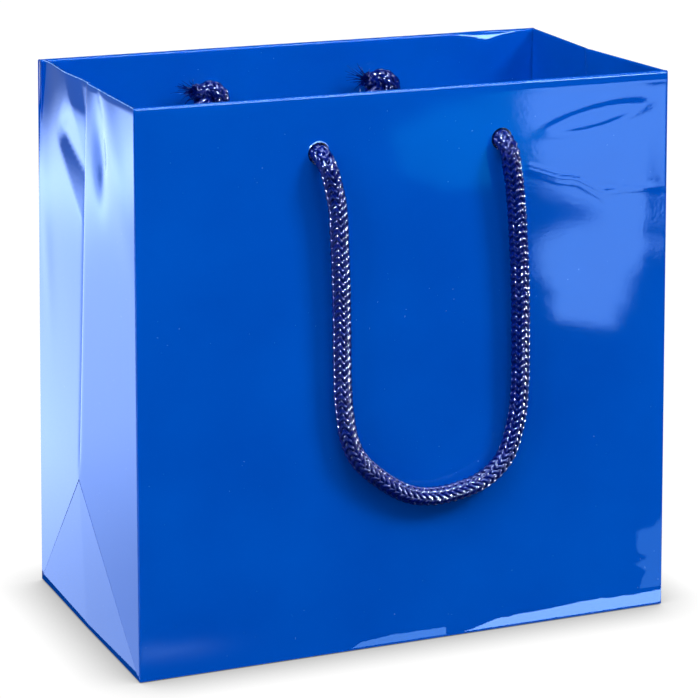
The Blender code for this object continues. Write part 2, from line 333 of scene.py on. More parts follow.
def closed_sheet(name, top, back, wear_and_highlight, materials=None, cut_last_row=False):
    """A sheet of paper from two grids of points, printed on its top side only.

    Its edges are printed too, because they are creases of the one big sheet, but the last row's
    edge shows the white core if cut_last_row is set.
    """
    high, wide = top.shape[:2]
    count = high * wide
    faces, slots = [], []
    for i in range(high - 1):
        for j in range(wide - 1):
            a = i * wide + j
            quad = (a, a + 1, a + wide + 1, a + wide)
            faces.append(quad)
            slots.append(0)
            faces.append(tuple(count + k for k in reversed(quad)))
            slots.append(1)
    border = list(range(wide)) + [i * wide + wide - 1 for i in range(1, high)]
    border += [(high - 1) * wide + j for j in range(wide - 2, -1, -1)]
    border += [i * wide for i in range(high - 2, 0, -1)]
    for a, b in zip(border, border[1:] + border[:1]):
        faces.append((b, a, count + a, count + b))
        is_cut = cut_last_row and min(a, b) >= (high - 1) * wide
        slots.append(1 if is_cut else 0)
    points = np.concatenate([top.reshape(-1, 3), back.reshape(-1, 3)])
    obj = link_mesh(name, points, faces, materials or [GLOSS, WHITE], slots)
    face_outwards(obj)
    # fold whitening per point, part real wear and part painted highlight; the back side gets none
    layer = obj.data.attributes.new("wear_and_highlight", "FLOAT", "POINT")
    whitening = np.concatenate([wear_and_highlight.ravel(), np.zeros(count)])
    layer.data.foreach_set("value", whitening.astype(np.float32))
    return obj


def smoothstep(low, high, x):
    t = np.clip((np.asarray(x, float) - low) / (high - low), 0.0, 1.0)
    return t * t * (3 - 2 * t)


def hump(u, v, at, size, turn=0.0):
    """A soft swelling of height 1; at and size are in mm, turn is its tilt in degrees."""
    a = math.radians(turn)
    du = u / MM - at[0]
    dv = v / MM - at[1]
    along = du * math.cos(a) + dv * math.sin(a)
    across = dv * math.cos(a) - du * math.sin(a)
    return np.exp(-((along / size[0]) ** 2) - (across / size[1]) ** 2)


def ring(u, v, at, size, width, turn=0.0):
    """A low ridge of height 1 round an ellipse; everything is in mm."""
    a = math.radians(turn)
    du = u / MM - at[0]
    dv = v / MM - at[1]
    along = (du * math.cos(a) + dv * math.sin(a)) / size[0]
    across = (dv * math.cos(a) - du * math.sin(a)) / size[1]
    return np.exp(-(((np.hypot(along, across) - 1) * size[1] / width) ** 2))


def ridge(u, v, route, width):
    """A low ridge of height 1 along a route; everything is in mm."""
    nearest = np.full(np.shape(u), 1e9)
    p = np.stack([u / MM, v / MM], axis=-1)
    for a, b in zip(route, route[1:]):
        a, b = np.array(a, float), np.array(b, float)
        share = np.clip(((p - a) @ (b - a)) / ((b - a) @ (b - a)), 0, 1)
        gap = np.linalg.norm(p - a - share[..., None] * (b - a), axis=-1)
        nearest = np.minimum(nearest, gap)
    return np.exp(-((nearest / width) ** 2))


# ---------------------------------------------------------------- the paper walls
class WallFrame:
    """Frame of a wall that leans in: maps (u, v, out) to the bag's own frame."""

    def __init__(self, x, y, turn, lean_inset, half, inset):
        lean = math.atan2(lean_inset, HEIGHT)
        place = Matrix.Translation((x, y, 0.0)) @ Matrix.Rotation(turn, 4, "Z")
        self.matrix = place @ Matrix.Rotation(math.pi / 2 - lean, 4, "X")
        self.slope = math.hypot(HEIGHT, lean_inset)
        self.half = half
        self.inset = inset

    def edge(self, v):
        return self.half - self.inset * np.asarray(v) / self.slope

    def world(self, u, v, out):
        u, v, out = np.broadcast_arrays(u, v, out)
        local = np.stack([u, v, out, np.ones_like(u)], axis=-1)
        return (local @ np.array(self.matrix).T)[..., :3]


FRONT = WallFrame(0.0, -HALF_DEPTH, 0.0, INSET_Y, HALF_WIDTH, INSET_X)
REAR = WallFrame(0.0, HALF_DEPTH, math.pi, INSET_Y, HALF_WIDTH, INSET_X)
LEFT = WallFrame(-HALF_WIDTH, 0.0, -math.pi / 2, INSET_X, HALF_DEPTH, INSET_Y)
RIGHT = WallFrame(HALF_WIDTH, 0.0, math.pi / 2, INSET_X, HALF_DEPTH, INSET_Y)


def spaced(*stops):
    """Numbers from stop to stop; each stop but the first is (value, step)."""
    values = [stops[0]]
    for end, step in stops[1:]:
        count = max(1, round(abs(end - values[-1]) / step))
        values.extend(np.linspace(values[-1], end, count + 1)[1:])
    return np.array(values)


class FoldedLeaf:
    """One panel of the sheet with its hem folded over the rim, built row by row.

    columns are shares of the wall's half-width, and corners adds the quarter turns round the
    bag's upright corners. rim is the thickness of the folded edge, bend(u, v) is how far the
    panel stands out, and its whitening function (u, v, angle) gives the fold whitening, part real
    wear and part painted highlight: angle is the turn over the rim, or None away from it.
    """

    def __init__(self, wall, columns, corners, rim, bend, wear_and_highlight):
        self.wall = wall
        self.corners = corners
        self.rim = rim
        self.bend = bend
        self.wear_and_highlight = wear_and_highlight
        self.share = np.array(columns)
        self.turn = np.zeros(len(columns))
        if corners:
            arc = np.linspace(0, math.pi / 2, 5)[1:]
            self.share = np.concatenate([-np.ones(4), self.share, np.ones(4)])
            self.turn = np.concatenate([arc[::-1], self.turn, arc])
        self.side = np.sign(self.share)
        self.wrap = FOLD if corners else 0.0
        self.setback = PAPER + 0.12 * MM if corners else RIM_THICK + 0.05 * MM
        self.span = wall.slope - RIM_RISE
        self.top, self.back, self.whitening = [], [], []

    def add(self, u, v, depth, back_u, back_v, back_depth, angle=None):
        v = v + 0 * u
        out = self.bend(u, v)
        self.top.append(self.wall.world(u, v, out - depth))
        self.back.append(self.wall.world(back_u, back_v, out - back_depth))
        self.whitening.append(self.wear_and_highlight(u, v, angle))

    def hem_depth(self, depth):
        """Depth of the hem, which comes forward at its ends to close the pocket round the board."""
        return depth + (FOLD + PAPER + LAYER_GAP - depth) * np.sin(self.turn)

    def hem_u(self, v):
        return self.share * (self.wall.edge(v) - self.setback)

    def add_outside(self, foot, heights):
        """Rows from foot(u) up to the rim, at the given shares of the way."""
        wrap = self.wrap
        sin, cos = np.sin(self.turn), np.cos(self.turn)
        depth = wrap * (1 - cos)
        back_depth = wrap - (wrap - PAPER) * cos if self.corners else PAPER
        for t in heights:
            half = self.wall.edge(t * self.span) - wrap
            u = self.share * half + self.side * wrap * sin
            back_u = self.share * half + self.side * (wrap - PAPER) * sin
            low = foot(u)
            v = low + t * (self.span - low)
            self.add(u, v, depth, back_u, v, back_depth)
        return u, depth

    def add_rim(self, outer_u, outer_depth):
        """Rows over the rim, which is half an ellipse across the folded edge."""
        inner_u = self.hem_u(self.wall.slope)
        for angle in np.linspace(0, math.pi, 15)[1:-1]:
            k = (1 - math.cos(angle)) / 2
            u = outer_u * (1 - k) + inner_u * k
            depth = outer_depth * (1 - k) + self.hem_depth(self.rim) * k
            v = self.span + RIM_RISE * math.sin(angle)
            back_v = self.span + (RIM_RISE - PAPER) * math.sin(angle)
            self.add(u, v, depth, u, back_v, depth + PAPER * math.cos(angle), angle)

    def add_hem(self):
        """Rows down the hem; a front or rear wall gets thinner below its board."""
        board_foot = self.wall.slope - BOARD_FOOT
        for t in spaced(0.0, (0.12, 0.02), (0.74, 0.08), (0.97, 0.03), (1.0, 0.03)):
            v = self.span - t * (self.span - self.wall.slope + HEM)
            over_board = 1.0
            if self.corners:
                over_board = smoothstep(board_foot - 3.5 * MM, board_foot + 0.5 * MM, v)
            depth = self.hem_depth(HEM_THICK + (self.rim - HEM_THICK) * over_board)
            u = self.hem_u(v)
            back_u = u - self.side * 0.06 * MM * np.sin(self.turn)
            self.add(u, v, depth, back_u, v, depth - PAPER)

    def sheet(self, name, foot, heights):
        self.add_rim(*self.add_outside(foot, heights))
        self.add_hem()
        top, back, whitening = np.array(self.top), np.array(self.back), np.array(self.whitening)
        return closed_sheet(name, top, back, whitening, cut_last_row=True)


def punch_hole(leaf, wall, u):
    """A round hole through the folded rim; the cut shows the paper's white core."""
    v = PIVOT.z / HEIGHT * wall.slope
    bpy.ops.mesh.primitive_cylinder_add(vertices=48, radius=HOLE_RADIUS, depth=20 * MM)
    tool = bpy.context.object
    tool.data.materials.append(WHITE)
    tool.matrix_world = wall.matrix @ Matrix.Translation((u, v, 0.0))
    cut = leaf.modifiers.new("hole", "BOOLEAN")
    cut.operation = "DIFFERENCE"
    cut.object = tool
    cut.material_mode = "TRANSFER"
    bpy.context.view_layer.update()
    with bpy.context.temp_override(object=leaf, active_object=leaf, selected_objects=[leaf]):
        bpy.ops.object.modifier_apply(modifier=cut.name)
    bpy.data.objects.remove(tool, do_unlink=True)


def rim_wear_and_highlight(angle, amount):
    """Whitening along the crest of the folded rim: part scuffing, part a painted highlight where the
    lit crest shines.
    """
    return 0.0 if angle is None else amount * math.exp(-(((angle - 0.75) / 0.5) ** 2))


def wall_wear_and_highlight(u, v, angle):
    # Whitening down each upright corner crease, along the foot and over the rim: part real wear, part
    # painted highlight on the lit creases and rim
    corner = 0.55 * np.exp(-((HALF_WIDTH - np.abs(u)) / (0.5 * MM)))
    low = 0.5 * np.exp(-(v / (0.6 * MM)))
    return np.clip(np.maximum(corner, low) + rim_wear_and_highlight(angle, 0.6), 0, 1)


def held_edges(u, v):
    """0 at a wall's creases, where it can't bend, and 1 in its middle."""
    sides = smoothstep(0, 10 * MM, HALF_WIDTH - np.abs(u))
    return sides * smoothstep(0.5 * MM, 12 * MM, v)


JAGGED_CREASE = [(36, 136), (46, 132.5), (52, 131.5), (60, 127), (66, 127.6), (72, 127.4), (82, 126.6)]
SIDE_CREASE = [(57, 130.5), (62, 131), (67, 128.5)]


def front_bend(u, v):
    """How the front wall bows, with the shallow dents and creases of its upper right."""
    bow = 0.25 * MM * (1 - (u / HALF_WIDTH) ** 2) * smoothstep(0.0, HEIGHT, v)
    dents = 0.045 * ring(u, v, (57.0, 148.6), (14.0, 2.7), 0.85, 10)
    dents += 0.07 * ridge(u, v, JAGGED_CREASE, 0.85)
    dents += 0.04 * ridge(u, v, SIDE_CREASE, 0.6)
    dents += 0.10 * hump(u, v, (-72, 7.5), (4.5, 3.0), 20)
    dents -= 0.10 * hump(u, v, (-78, 4.5), (1.6, 1.2))
    lip = 0.07 * MM * smoothstep(20 * MM, 55 * MM, u) * np.exp(-(((v - 0.1585) / (1.1 * MM)) ** 2))
    return held_edges(u, v) * (bow + dents * MM) + lip


def rear_bend(u, v):
    """How the rear wall bows, with a triangle pressed in under one end of its rim."""
    bow = 0.3 * MM * (1 - (u / HALF_WIDTH) ** 2) * smoothstep(0.0, HEIGHT, v)
    aside = np.abs(u / MM + 63)  # mm from the triangle's tip
    over_line = v - REAR.slope + 3.4 * MM * (1 - aside / 10.5)
    pressed = 0.17 * np.maximum(over_line, 0.0) * (aside < 10.5)
    return held_edges(u, v) * (bow + 0.12 * MM * hump(u, v, (-20, 70), (35, 25), 30)) + pressed


def paint_board(node):
    board = frame["nodes"][node]
    board.data.materials.clear()
    board.data.materials.append(BOARD)


def make_cord_wall(prefix, wall, bend, fine_from=None):
    """The front or rear wall, wrapped round the bag's corners, with its two holes.

    From the share fine_from of its half-width on, its points are close enough for small dents.
    """
    if fine_from is None:
        columns = spaced(-1.0, (-0.98, 0.01), (0.98, 0.022), (1.0, 0.01))
        heights = spaced(0.0, (0.02, 0.01), (0.98, 0.016), (1.0, 0.01))
    else:
        columns = spaced(-1.0, (-0.98, 0.01), (fine_from, 0.022), (0.98, 0.0075), (1.0, 0.005))
        heights = spaced(0.0, (0.06, 0.008), (0.72, 0.02), (1.0, 0.0045))
    folded = FoldedLeaf(wall, columns, True, RIM_THICK, bend, wall_wear_and_highlight)
    leaf = folded.sheet(f"{prefix}_wall_paper", lambda u: np.full_like(u, FOOT), heights)
    for side in (-1, 1):
        punch_hole(leaf, wall, side * HOLE_X)
    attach(leaf, f"{prefix}_wall")
    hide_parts(f"{prefix}_panel", f"{prefix}_hem")
    paint_board(f"{prefix}_rim_board")


make_cord_wall("front", FRONT, front_bend, fine_from=0.40)
make_cord_wall("rear", REAR, rear_bend)


# ---------------------------------------------------------------- gussets
def crease_line(v, rim_pull, bulge):
    """How far a gusset's centre crease stands out: bulged at its foot, drawn in at the mouth."""
    share = (v - HALF_DEPTH) / (HEIGHT - HALF_DEPTH)
    return bulge - (bulge + rim_pull) * np.clip(share, 0, 1)


def buckle(u, v, start, end, slope, reach):
    """A crease from start to end, in mm; on its left the paper falls away and recovers.

    slope is how steeply it falls, reach how far it falls for at either end of the crease.
    """
    run = np.array(end, float) - start
    length = np.hypot(*run)
    du = u / MM - start[0]
    dv = v / MM - start[1]
    share = (du * run[0] + dv * run[1]) / length**2
    off = np.maximum(run[0] * dv - run[1] * du, 0) / length
    width = reach[0] + (reach[1] - reach[0]) * np.clip(share, 0, 1)
    ends = smoothstep(-0.15, 0.1, share) * (1 - smoothstep(0.95, 1.25, share))
    return -slope * ends * np.minimum(off, width) * (1 - smoothstep(0.9, 2.8, off / width))


def gusset_surface(u, v, rim_pull, bulge):
    """A gusset's facets: two upright ones above its base triangle, folded at the centre."""
    across = 1 - np.abs(u) / HALF_DEPTH
    diagonal = HALF_DEPTH - np.abs(u)
    in_triangle = v < diagonal - 0.02 * MM
    upright = crease_line(v, rim_pull, bulge) * across
    triangle = bulge * v / HALF_DEPTH + 0.35 * MM * np.clip((diagonal - v) / HALF_DEPTH, 0, 1)
    return np.where(in_triangle, triangle, upright)


def pinch(u, v):
    """The sharp valley pressed in along the centre crease, above the triangle's tip."""
    depth = 0.22 * MM * smoothstep(HALF_DEPTH, HALF_DEPTH + 8 * MM, v)
    return -depth * np.exp(-((np.abs(u) / (0.9 * MM)) ** 1.3))


def left_bend(u, v):
    """u grows towards the front of the bag."""
    rear_half = u < 0
    dents = buckle(u, v, (-20, 163), (-1.5, 137), 0.075, (10, 8)) * rear_half
    dents += buckle(u, v, (-25, 140), (-1, 121), 0.088, (6, 14)) * rear_half
    dents -= 1.3 * hump(u, v, (-38, 168), (13, 30))
    dents -= 0.95 * hump(u, v, (13.5, 143), (5.2, 11), 10)
    dents -= 0.10 * ridge(u, v, [(11.4, 160), (15.6, 154.1)], 0.8)
    dents += 0.25 * hump(u, v, (30, 138), (7, 20), 28)
    dents += 0.20 * hump(u, v, (-36, 112), (5, 22), 8)
    free = smoothstep(0, 6 * MM, HALF_DEPTH - np.abs(u))
    return gusset_surface(u, v, 0.75 * MM, 2.4 * MM) + pinch(u, v) + free * dents * MM


def right_bend(u, v):
    """u grows towards the rear of the bag."""
    dents = -0.5 * hump(u, v, (14, 140), (7, 14), 15)
    dents += 0.3 * hump(u, v, (-20, 118), (8, 20), -12)
    dents -= 0.3 * hump(u, v, (-12, 150), (4, 8), 20)
    free = smoothstep(0, 6 * MM, HALF_DEPTH - np.abs(u))
    return gusset_surface(u, v, 2.8 * MM, 1.6 * MM) + pinch(u, v) + free * dents * MM


def gusset_wear_and_highlight(u, v, angle):
    # Whitening along the centre crease, the diagonal folds, the corners and the rim; the rim's part is
    # painted highlight as well as wear
    along_fold = np.abs(v - (HALF_DEPTH - np.abs(u))) / math.sqrt(2)
    crease = 0.65 * np.exp(-np.abs(u) / (0.3 * MM))
    fold = 0.5 * np.exp(-along_fold / (0.4 * MM))
    corner = 0.5 * np.exp(-(HALF_DEPTH - np.abs(u)) / (0.4 * MM))
    return np.clip(np.maximum.reduce([crease, fold, corner]) + rim_wear_and_highlight(angle, 0.95), 0, 1)


def gusset_columns(sign):
    last = 1 - (FOLD + 0.03 * MM) / HALF_DEPTH
    shares = spaced(0.0005, (0.005, 0.0045), (0.065, 0.006), (last - 0.02, 0.018), (last, 0.01))
    return shares if sign > 0 else -shares[::-1]


def ride_gusset(piece):
    """Bakes a piece's placement into its mesh."""
    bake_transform(piece)


def make_gusset(side, word, wall, sign, bend):
    """One half of a gusset, from its centre crease to the bag's corner."""
    heights = spaced(0.0, (0.45, 0.03), (1.0, 0.012))
    folded = FoldedLeaf(wall, gusset_columns(sign), False, RIM_THIN, bend, gusset_wear_and_highlight)
    leaf = folded.sheet(
        f"{side}_{word}_gusset_paper",
        lambda u: np.maximum(HALF_DEPTH - np.abs(u) + 0.05 * MM, FOOT), heights,
    )
    ride_gusset(leaf)
    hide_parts(f"{side}_{word}_gusset", f"{side}_{word}_gusset_hem")


def make_base_triangle(side, wall, bend):
    """The triangle at the foot of a gusset, between its two diagonal folds."""
    half = HALF_DEPTH - FOOT_FOLD
    share = np.linspace(-1, 1, 61)
    rise = np.linspace(0.0, 0.995, 46)[:, None]
    u = share * half * (1 - rise)
    v = rise * half + FOOT_FOLD * (1 - rise) + 0 * u
    stand = bend(u, v)
    to_fold = (HALF_DEPTH - np.abs(u) - v) / math.sqrt(2)
    wear_and_highlight = 0.45 * np.exp(-to_fold / (0.5 * MM)) + 0.2 * np.exp(-np.abs(u) / (0.4 * MM))
    top = wall.world(u, v, stand)
    back = wall.world(u, v, stand - PAPER)
    piece = closed_sheet(f"{side}_base_triangle_paper", top, back, wear_and_highlight)
    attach(piece, f"{side}_base_fold")
    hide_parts(f"{side}_base_triangle")


def make_seam_flap():
    """The glue flap inside the right rear corner, where the sheet's two ends meet."""
    seam_low, seam_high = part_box("side_seam_flap")
    u = np.linspace(seam_low.y, seam_high.y, 12)
    v = np.linspace(seam_low.z, seam_high.z, 60)[:, None] + 0 * u
    u = u + 0 * v
    stand = right_bend(u, v) - PAPER - 0.03 * MM
    top = RIGHT.world(u, v, stand)
    back = RIGHT.world(u, v, stand - PAPER)
    piece = closed_sheet("side_seam_flap_paper", top, back, 0 * u, [WHITE, WHITE])
    ride_gusset(piece)
    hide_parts("side_seam_flap")


for side, wall, bend, front_sign in (("left", LEFT, left_bend, 1), ("right", RIGHT, right_bend, -1)):
    make_gusset(side, "front", wall, front_sign, bend)
    make_gusset(side, "rear", wall, -front_sign, bend)
    make_base_triangle(side, wall, bend)
make_seam_flap()


# ---------------------------------------------------------------- the bottom
def make_flap(node, turn, half_edge, to_edge, reach, straight, level):
    """A bottom flap that rolls in under a wall and rises to its own layer of the stack.

    Its own coordinates are u along the wall's foot and d inwards from it. It keeps its width for
    the length straight, and narrows by 45 degrees from there.
    """
    share = np.linspace(-1, 1, 61)
    place = Matrix.Rotation(turn, 4, "Z")
    inner = FOOT_FOLD - PAPER
    top, back = [], []

    def add(grid, d, flat_d, z):
        u = share * (half_edge - max(0, flat_d - straight))
        local = np.stack([u, d - to_edge + 0 * u, z + 0 * u, 1 + 0 * u], axis=-1)
        grid.append((local @ np.array(place).T)[:, :3])

    for a in np.linspace(0, math.pi / 2, 6)[:-1]:
        add(top, FOOT_FOLD * (1 - math.cos(a)), 0.0, FOOT_FOLD * (1 - math.sin(a)))
        add(back, FOOT_FOLD - inner * math.cos(a), 0.0, FOOT_FOLD - inner * math.sin(a))
    for d in spaced(FOOT_FOLD, (6 * MM, 1 * MM), (reach, 3 * MM)):
        z = level * smoothstep(1 * MM, 6 * MM, d)
        add(top, d, d, z)
        add(back, d, d, z + PAPER)
    top, back = np.array(top), np.array(back)
    piece = closed_sheet(f"{node}_paper", top, back, np.zeros(top.shape[:2]))
    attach(piece, "base")
    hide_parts(node)


def make_bottom():
    """Front flap outermost, the rear one on it, the two side ones inside, then the board."""
    layer = PAPER + LAYER_GAP
    edge_u = HALF_WIDTH - 0.5 * MM
    side_u = HALF_DEPTH - 0.5 * MM
    for node, turn, level, slot in (
        ("bottom_front_flap", 0.0, 0.0, "gloss_blue_paper"),
        ("bottom_rear_flap", math.pi, layer, "white_paper"),
    ):
        low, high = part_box(node)
        reach = high.y - low.y
        make_flap(node, turn, edge_u, HALF_DEPTH, reach, reach - FLAP_CHAMFER, level)
    for node, turn in (("bottom_left_flap", -math.pi / 2), ("bottom_right_flap", math.pi / 2)):
        low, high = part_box(node)
        reach = high.x - low.x
        make_flap(node, turn, side_u, HALF_WIDTH, reach, 0.0, 2 * layer)
    paint_board("base_board")


make_bottom()


# ---------------------------------------------------------------- cords
def smooth_line(points, step):
    """Points `step` apart along a smooth curve through the given ones."""
    p = [np.array(q, float) for q in points]
    p = [2 * p[0] - p[1], *p, 2 * p[-1] - p[-2]]
    line = []
    for a, b, c, d in zip(p, p[1:], p[2:], p[3:]):
        for t in np.arange(24) / 24:
            bend = (2 * a - 5 * b + 4 * c - d) * t**2 + (3 * b - a - 3 * c + d) * t**3
            line.append(0.5 * (2 * b + (c - a) * t + bend))
    return even_line(np.array(line + [p[-2]]), step)


def travel_along(line):
    return np.concatenate([[0], np.cumsum(np.linalg.norm(np.diff(line, axis=0), axis=1))])


def even_line(line, step):
    travel = travel_along(line)
    at = np.linspace(0, travel[-1], max(2, round(travel[-1] / step)) + 1)
    return np.stack([np.interp(at, travel, line[:, k]) for k in range(3)], axis=1)


def unit(vectors):
    return vectors / (np.linalg.norm(vectors, axis=-1, keepdims=True) + 1e-12)


def line_frames(line, first_side):
    """Tangent, side and third axis along a line, turning as little as they can."""
    tangent = unit(np.gradient(line, axis=0))
    side = np.zeros_like(tangent)
    current = np.array(first_side, float)
    for k, t in enumerate(tangent):
        current = unit(current - (current @ t) * t)
        side[k] = current
    return tangent, side, np.cross(tangent, side)


def tube(line, radius, side, third, sides, flat=1.0):
    """Points and faces of a round tube; radius may change along it."""
    angles = np.arange(sides) / sides * 2 * math.pi
    radius = np.broadcast_to(radius, len(line))[:, None, None]
    ring_points = np.cos(angles)[None, :, None] * side[:, None] * radius
    ring_points = ring_points + np.sin(angles)[None, :, None] * third[:, None] * radius * flat
    points = (line[:, None] + ring_points).reshape(-1, 3)
    faces = []
    for i in range(len(line) - 1):
        for k in range(sides):
            a, b = i * sides + k, i * sides + (k + 1) % sides
            faces.append((a, b, b + sides, a + sides))
    faces.append(tuple(reversed(range(sides))))
    faces.append(tuple((len(line) - 1) * sides + k for k in range(sides)))
    return points, faces


def knit_spiral(line, radius, yarn_radius, first_side, seed):
    """The yarn of a knitted cord: one spiral of stitches that point along the line.

    t grows by a full turn for each stitch, and the stitches go round the cord wale by wale.
    """
    _, side, third = line_frames(line, first_side)
    travel = travel_along(line)
    stitches = int(travel[-1] / COURSE * WALES) + 2 * WALES
    t = np.arange(stitches * STITCH_SAMPLES) / STITCH_SAMPLES * 2 * math.pi - 2 * math.pi * WALES
    wale = 2 * math.pi / WALES
    rng = np.random.default_rng(seed)
    stitch_at = np.arange(stitches + 1) * STITCH_SAMPLES
    wobble = [
        np.interp(np.arange(len(t)), stitch_at, rng.normal(0, 1, stitches + 1)) for _ in range(3)
    ]
    angle = t / (2 * math.pi) * wale + (STITCH_SWING + 0.02 * wobble[0]) * wale * np.sin(2 * t)
    rise = COURSE * (STITCH_RISE + 0.03 * wobble[1]) * np.cos(t)
    along = t / (2 * math.pi * WALES) * COURSE + rise
    sink = STITCH_SINK * yarn_radius * (1 + np.cos(2 * t)) + 0.05 * yarn_radius * wobble[2]
    reach = radius - yarn_radius - sink
    kept = (along > 0) & (along < travel[-1])
    first, last = np.argmax(kept), len(kept) - np.argmax(kept[::-1])
    along = np.clip(along[first:last], 0, travel[-1])
    angle, reach = angle[first:last], reach[first:last]
    centre, e1, e2 = (
        np.stack([np.interp(along, travel, grid[:, k]) for k in range(3)], axis=1)
        for grid in (line, side, third)
    )
    outward = unit(np.cos(angle)[:, None] * e1 + np.sin(angle)[:, None] * e2)
    return centre + reach[:, None] * outward, outward


def joined(parts):
    """The points and faces of several meshes as one."""
    faces, offset = [], 0
    for part_points, part_faces in parts:
        faces.extend(tuple(offset + k for k in face) for face in part_faces)
        offset += len(part_points)
    return np.concatenate([points for points, _ in parts]), faces


def lay_yarn_map(obj, path, yarn_radius):
    """A UV map for the yarn: u counts its girths along it, v goes round it."""
    count = len(obj.data.vertices)
    along = np.zeros(count)
    along[: len(path) * YARN_SIDES] = np.repeat(travel_along(path), YARN_SIDES)
    along /= 2 * math.pi * yarn_radius
    around = np.arange(count) % YARN_SIDES / YARN_SIDES
    index = np.zeros(len(obj.data.loops), np.int32)
    obj.data.loops.foreach_get("vertex_index", index)
    layer = obj.data.uv_layers.new(name="yarn")
    layer.data.foreach_set("uv", np.stack([along[index], around[index]], 1).astype(np.float32).ravel())


def knitted(name, line, first_side, radius, yarn_radius, seed, extras=()):
    """A knitted cord along a line: its yarn and the filled core behind it, as one mesh."""
    path, outward = knit_spiral(line, radius, yarn_radius, first_side, seed)
    direction = unit(np.gradient(path, axis=0))
    up = unit(outward - (outward * direction).sum(1)[:, None] * direction)
    strand = tube(path, yarn_radius, np.cross(direction, up), up, YARN_SIDES, YARN_FLATNESS)
    core_line = even_line(line, 1.2 * MM)[1:-1]
    _, core_side, core_third = line_frames(core_line, first_side)
    core = tube(core_line, radius * CORE_SHARE, core_side, core_third, 10)
    points, faces = joined([strand, core, *extras])
    obj = link_mesh(name, points, faces, [YARN], smooth_angle=80)
    lay_yarn_map(obj, path, yarn_radius)
    return obj


def handle_line(turned):
    """Centreline of a handle: out of its left hole, down its loop and into the right one."""
    z = PIVOT.z
    y = PIVOT.y
    inside = WALL_FACE_Y + 3.0 * MM
    before = WALL_FACE_Y - CORD_OUT
    start = [
        (-HOLE_X, inside, z), (-HOLE_X, WALL_FACE_Y, z), (-HOLE_X + 0.2 * MM, before, z - 0.7 * MM),
        (-HOLE_X + 0.9 * MM, y + 0.2 * MM, z - CORD_DOWN),
    ]
    end = [
        (HOLE_X + 0.5 * MM, y + 0.2 * MM, z - CORD_DOWN), (HOLE_X + 0.1 * MM, before, z - 0.7 * MM),
        (HOLE_X, WALL_FACE_Y, z), (HOLE_X, inside, z),
    ]
    line = smooth_line(start + [(x, y, height) for x, height in LOOP_ROUTE] + end, 0.6 * MM)
    return line * (-1.0, -1.0, 1.0) if turned else line


def frayed_end(at, direction, seed):
    """Loose filaments that fan out of a cut cord end."""
    rng = np.random.default_rng(seed)
    direction = unit(np.array(direction, float))
    parts = []
    for _ in range(FILAMENTS):
        spread = rng.normal(0, 1, 3)
        spread -= (spread @ direction) * direction
        length = rng.uniform(2.2, 5.2) * MM
        curl = rng.normal(0, 0.5, 3)
        share = np.linspace(0, 1, 6)[:, None]
        line = at + spread * 0.8 * MM * (1 - 0.2 * share) + direction * length * share
        line = line + (spread * 0.33 + curl * 0.35) * length * share**2
        _, side, third = line_frames(line, (0.3, 0.5, 0.8))
        radius = 0.16 * MM * (1 - 0.6 * share[:, 0])
        parts.append(tube(line, radius, side, third, 4))
    return parts


def make_knot(prefix, word):
    """An overhand knot that stops the cord inside the bag, with its short frayed tail.

    Its own axes are x along the wall, y away from it into the bag, and z up.
    """
    hole_side = -1 if word == "left" else 1
    flip = -1.0 if prefix == "front" else 1.0
    t = np.linspace(0.30, 2 * math.pi - 0.30, 44)
    x = KNOT_SIZE * (np.sin(t) + 2 * np.sin(2 * t))
    z = -KNOT_SIZE * (np.cos(t) - 2 * np.cos(2 * t))
    y = 5.0 * MM - KNOT_SIZE * 1.15 * np.sin(3 * t)
    loop = np.stack([x - 1.6 * MM, y, z - 0.9 * MM], axis=1)
    back = unit(loop[0] - loop[1])
    tail = [loop[0] + (back + (-0.35, 0, 0.10)) * d * MM for d in (7.0, 4.6, 2.2)]
    through = [(0.4 * MM, 0.9 * MM, 0.1 * MM), (0.0, -0.8 * MM, 0.0), (0.0, -2.0 * MM, 0.0)]
    line = smooth_line([*tail, *loop, *through], 0.5 * MM)
    origin = np.array([hole_side * HOLE_X, flip * (-WALL_FACE_Y - RIM_THICK), PIVOT.z])
    line = origin + line * (1.0, -flip, 1.0)
    frays = frayed_end(line[0], line[0] - line[4], 11 + hole_side + (5 if prefix == "front" else 0))
    knot = knitted(
        f"{prefix}_knot_{word}_knit", line, (0, 0, 1), KNOT_CORD_REACH, KNOT_YARN_RADIUS,
        21 + hole_side, frays,
    )
    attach(knot, f"{prefix}_wall")
    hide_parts(f"{prefix}_knot_{word}")
    return knot


def make_handle(prefix, turned):
    """One handle: the hanging loop and the knots that hold its two ends."""
    line = handle_line(turned)
    cord = knitted(f"{prefix}_handle_knit", line, (1.0, 0.0, 0.0), CORD_REACH, YARN_RADIUS, 3)
    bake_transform(cord)
    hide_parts(f"{prefix}_handle_cord", f"{prefix}_cord_stub_left", f"{prefix}_cord_stub_right")
    knots = [make_knot(prefix, word) for word in ("left", "right")]


def make_torn_edge():
    """A crescent of paper lifted by the cord at the top of the front wall's left hole."""
    count = 40
    angle = np.radians(np.linspace(25, 158, count))
    across = np.linspace(0, 1, 5)[:, None]
    thin = np.sin(np.linspace(0, math.pi, count)) ** 0.6
    radius = HOLE_RADIUS + (0.05 + 0.26 * across * thin) * MM
    u = radius * np.cos(angle) - HOLE_X
    v = radius * np.sin(angle) + PIVOT.z / HEIGHT * FRONT.slope
    lift = (0.10 + 0.22 * thin * (1 - across) ** 1.5 + 0.05 * np.sin(7 * angle) * thin) * MM
    out = front_bend(u, v) + lift
    top = FRONT.world(u, v, out)
    back = FRONT.world(u, v, out - 0.12 * MM)
    piece = closed_sheet("torn_hole_edge", top, back, 0.8 + 0 * u, [GLOSS, WHITE])
    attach(piece, "front_wall")


make_handle("front", False)
make_handle("rear", True)
make_torn_edge()


# ---------------------------------------------------------------- studio
FLOOR_SIZE = 12.0
FLOOR_DROP = 0.2 * MM  # keeps the floor clear of the bag's underside
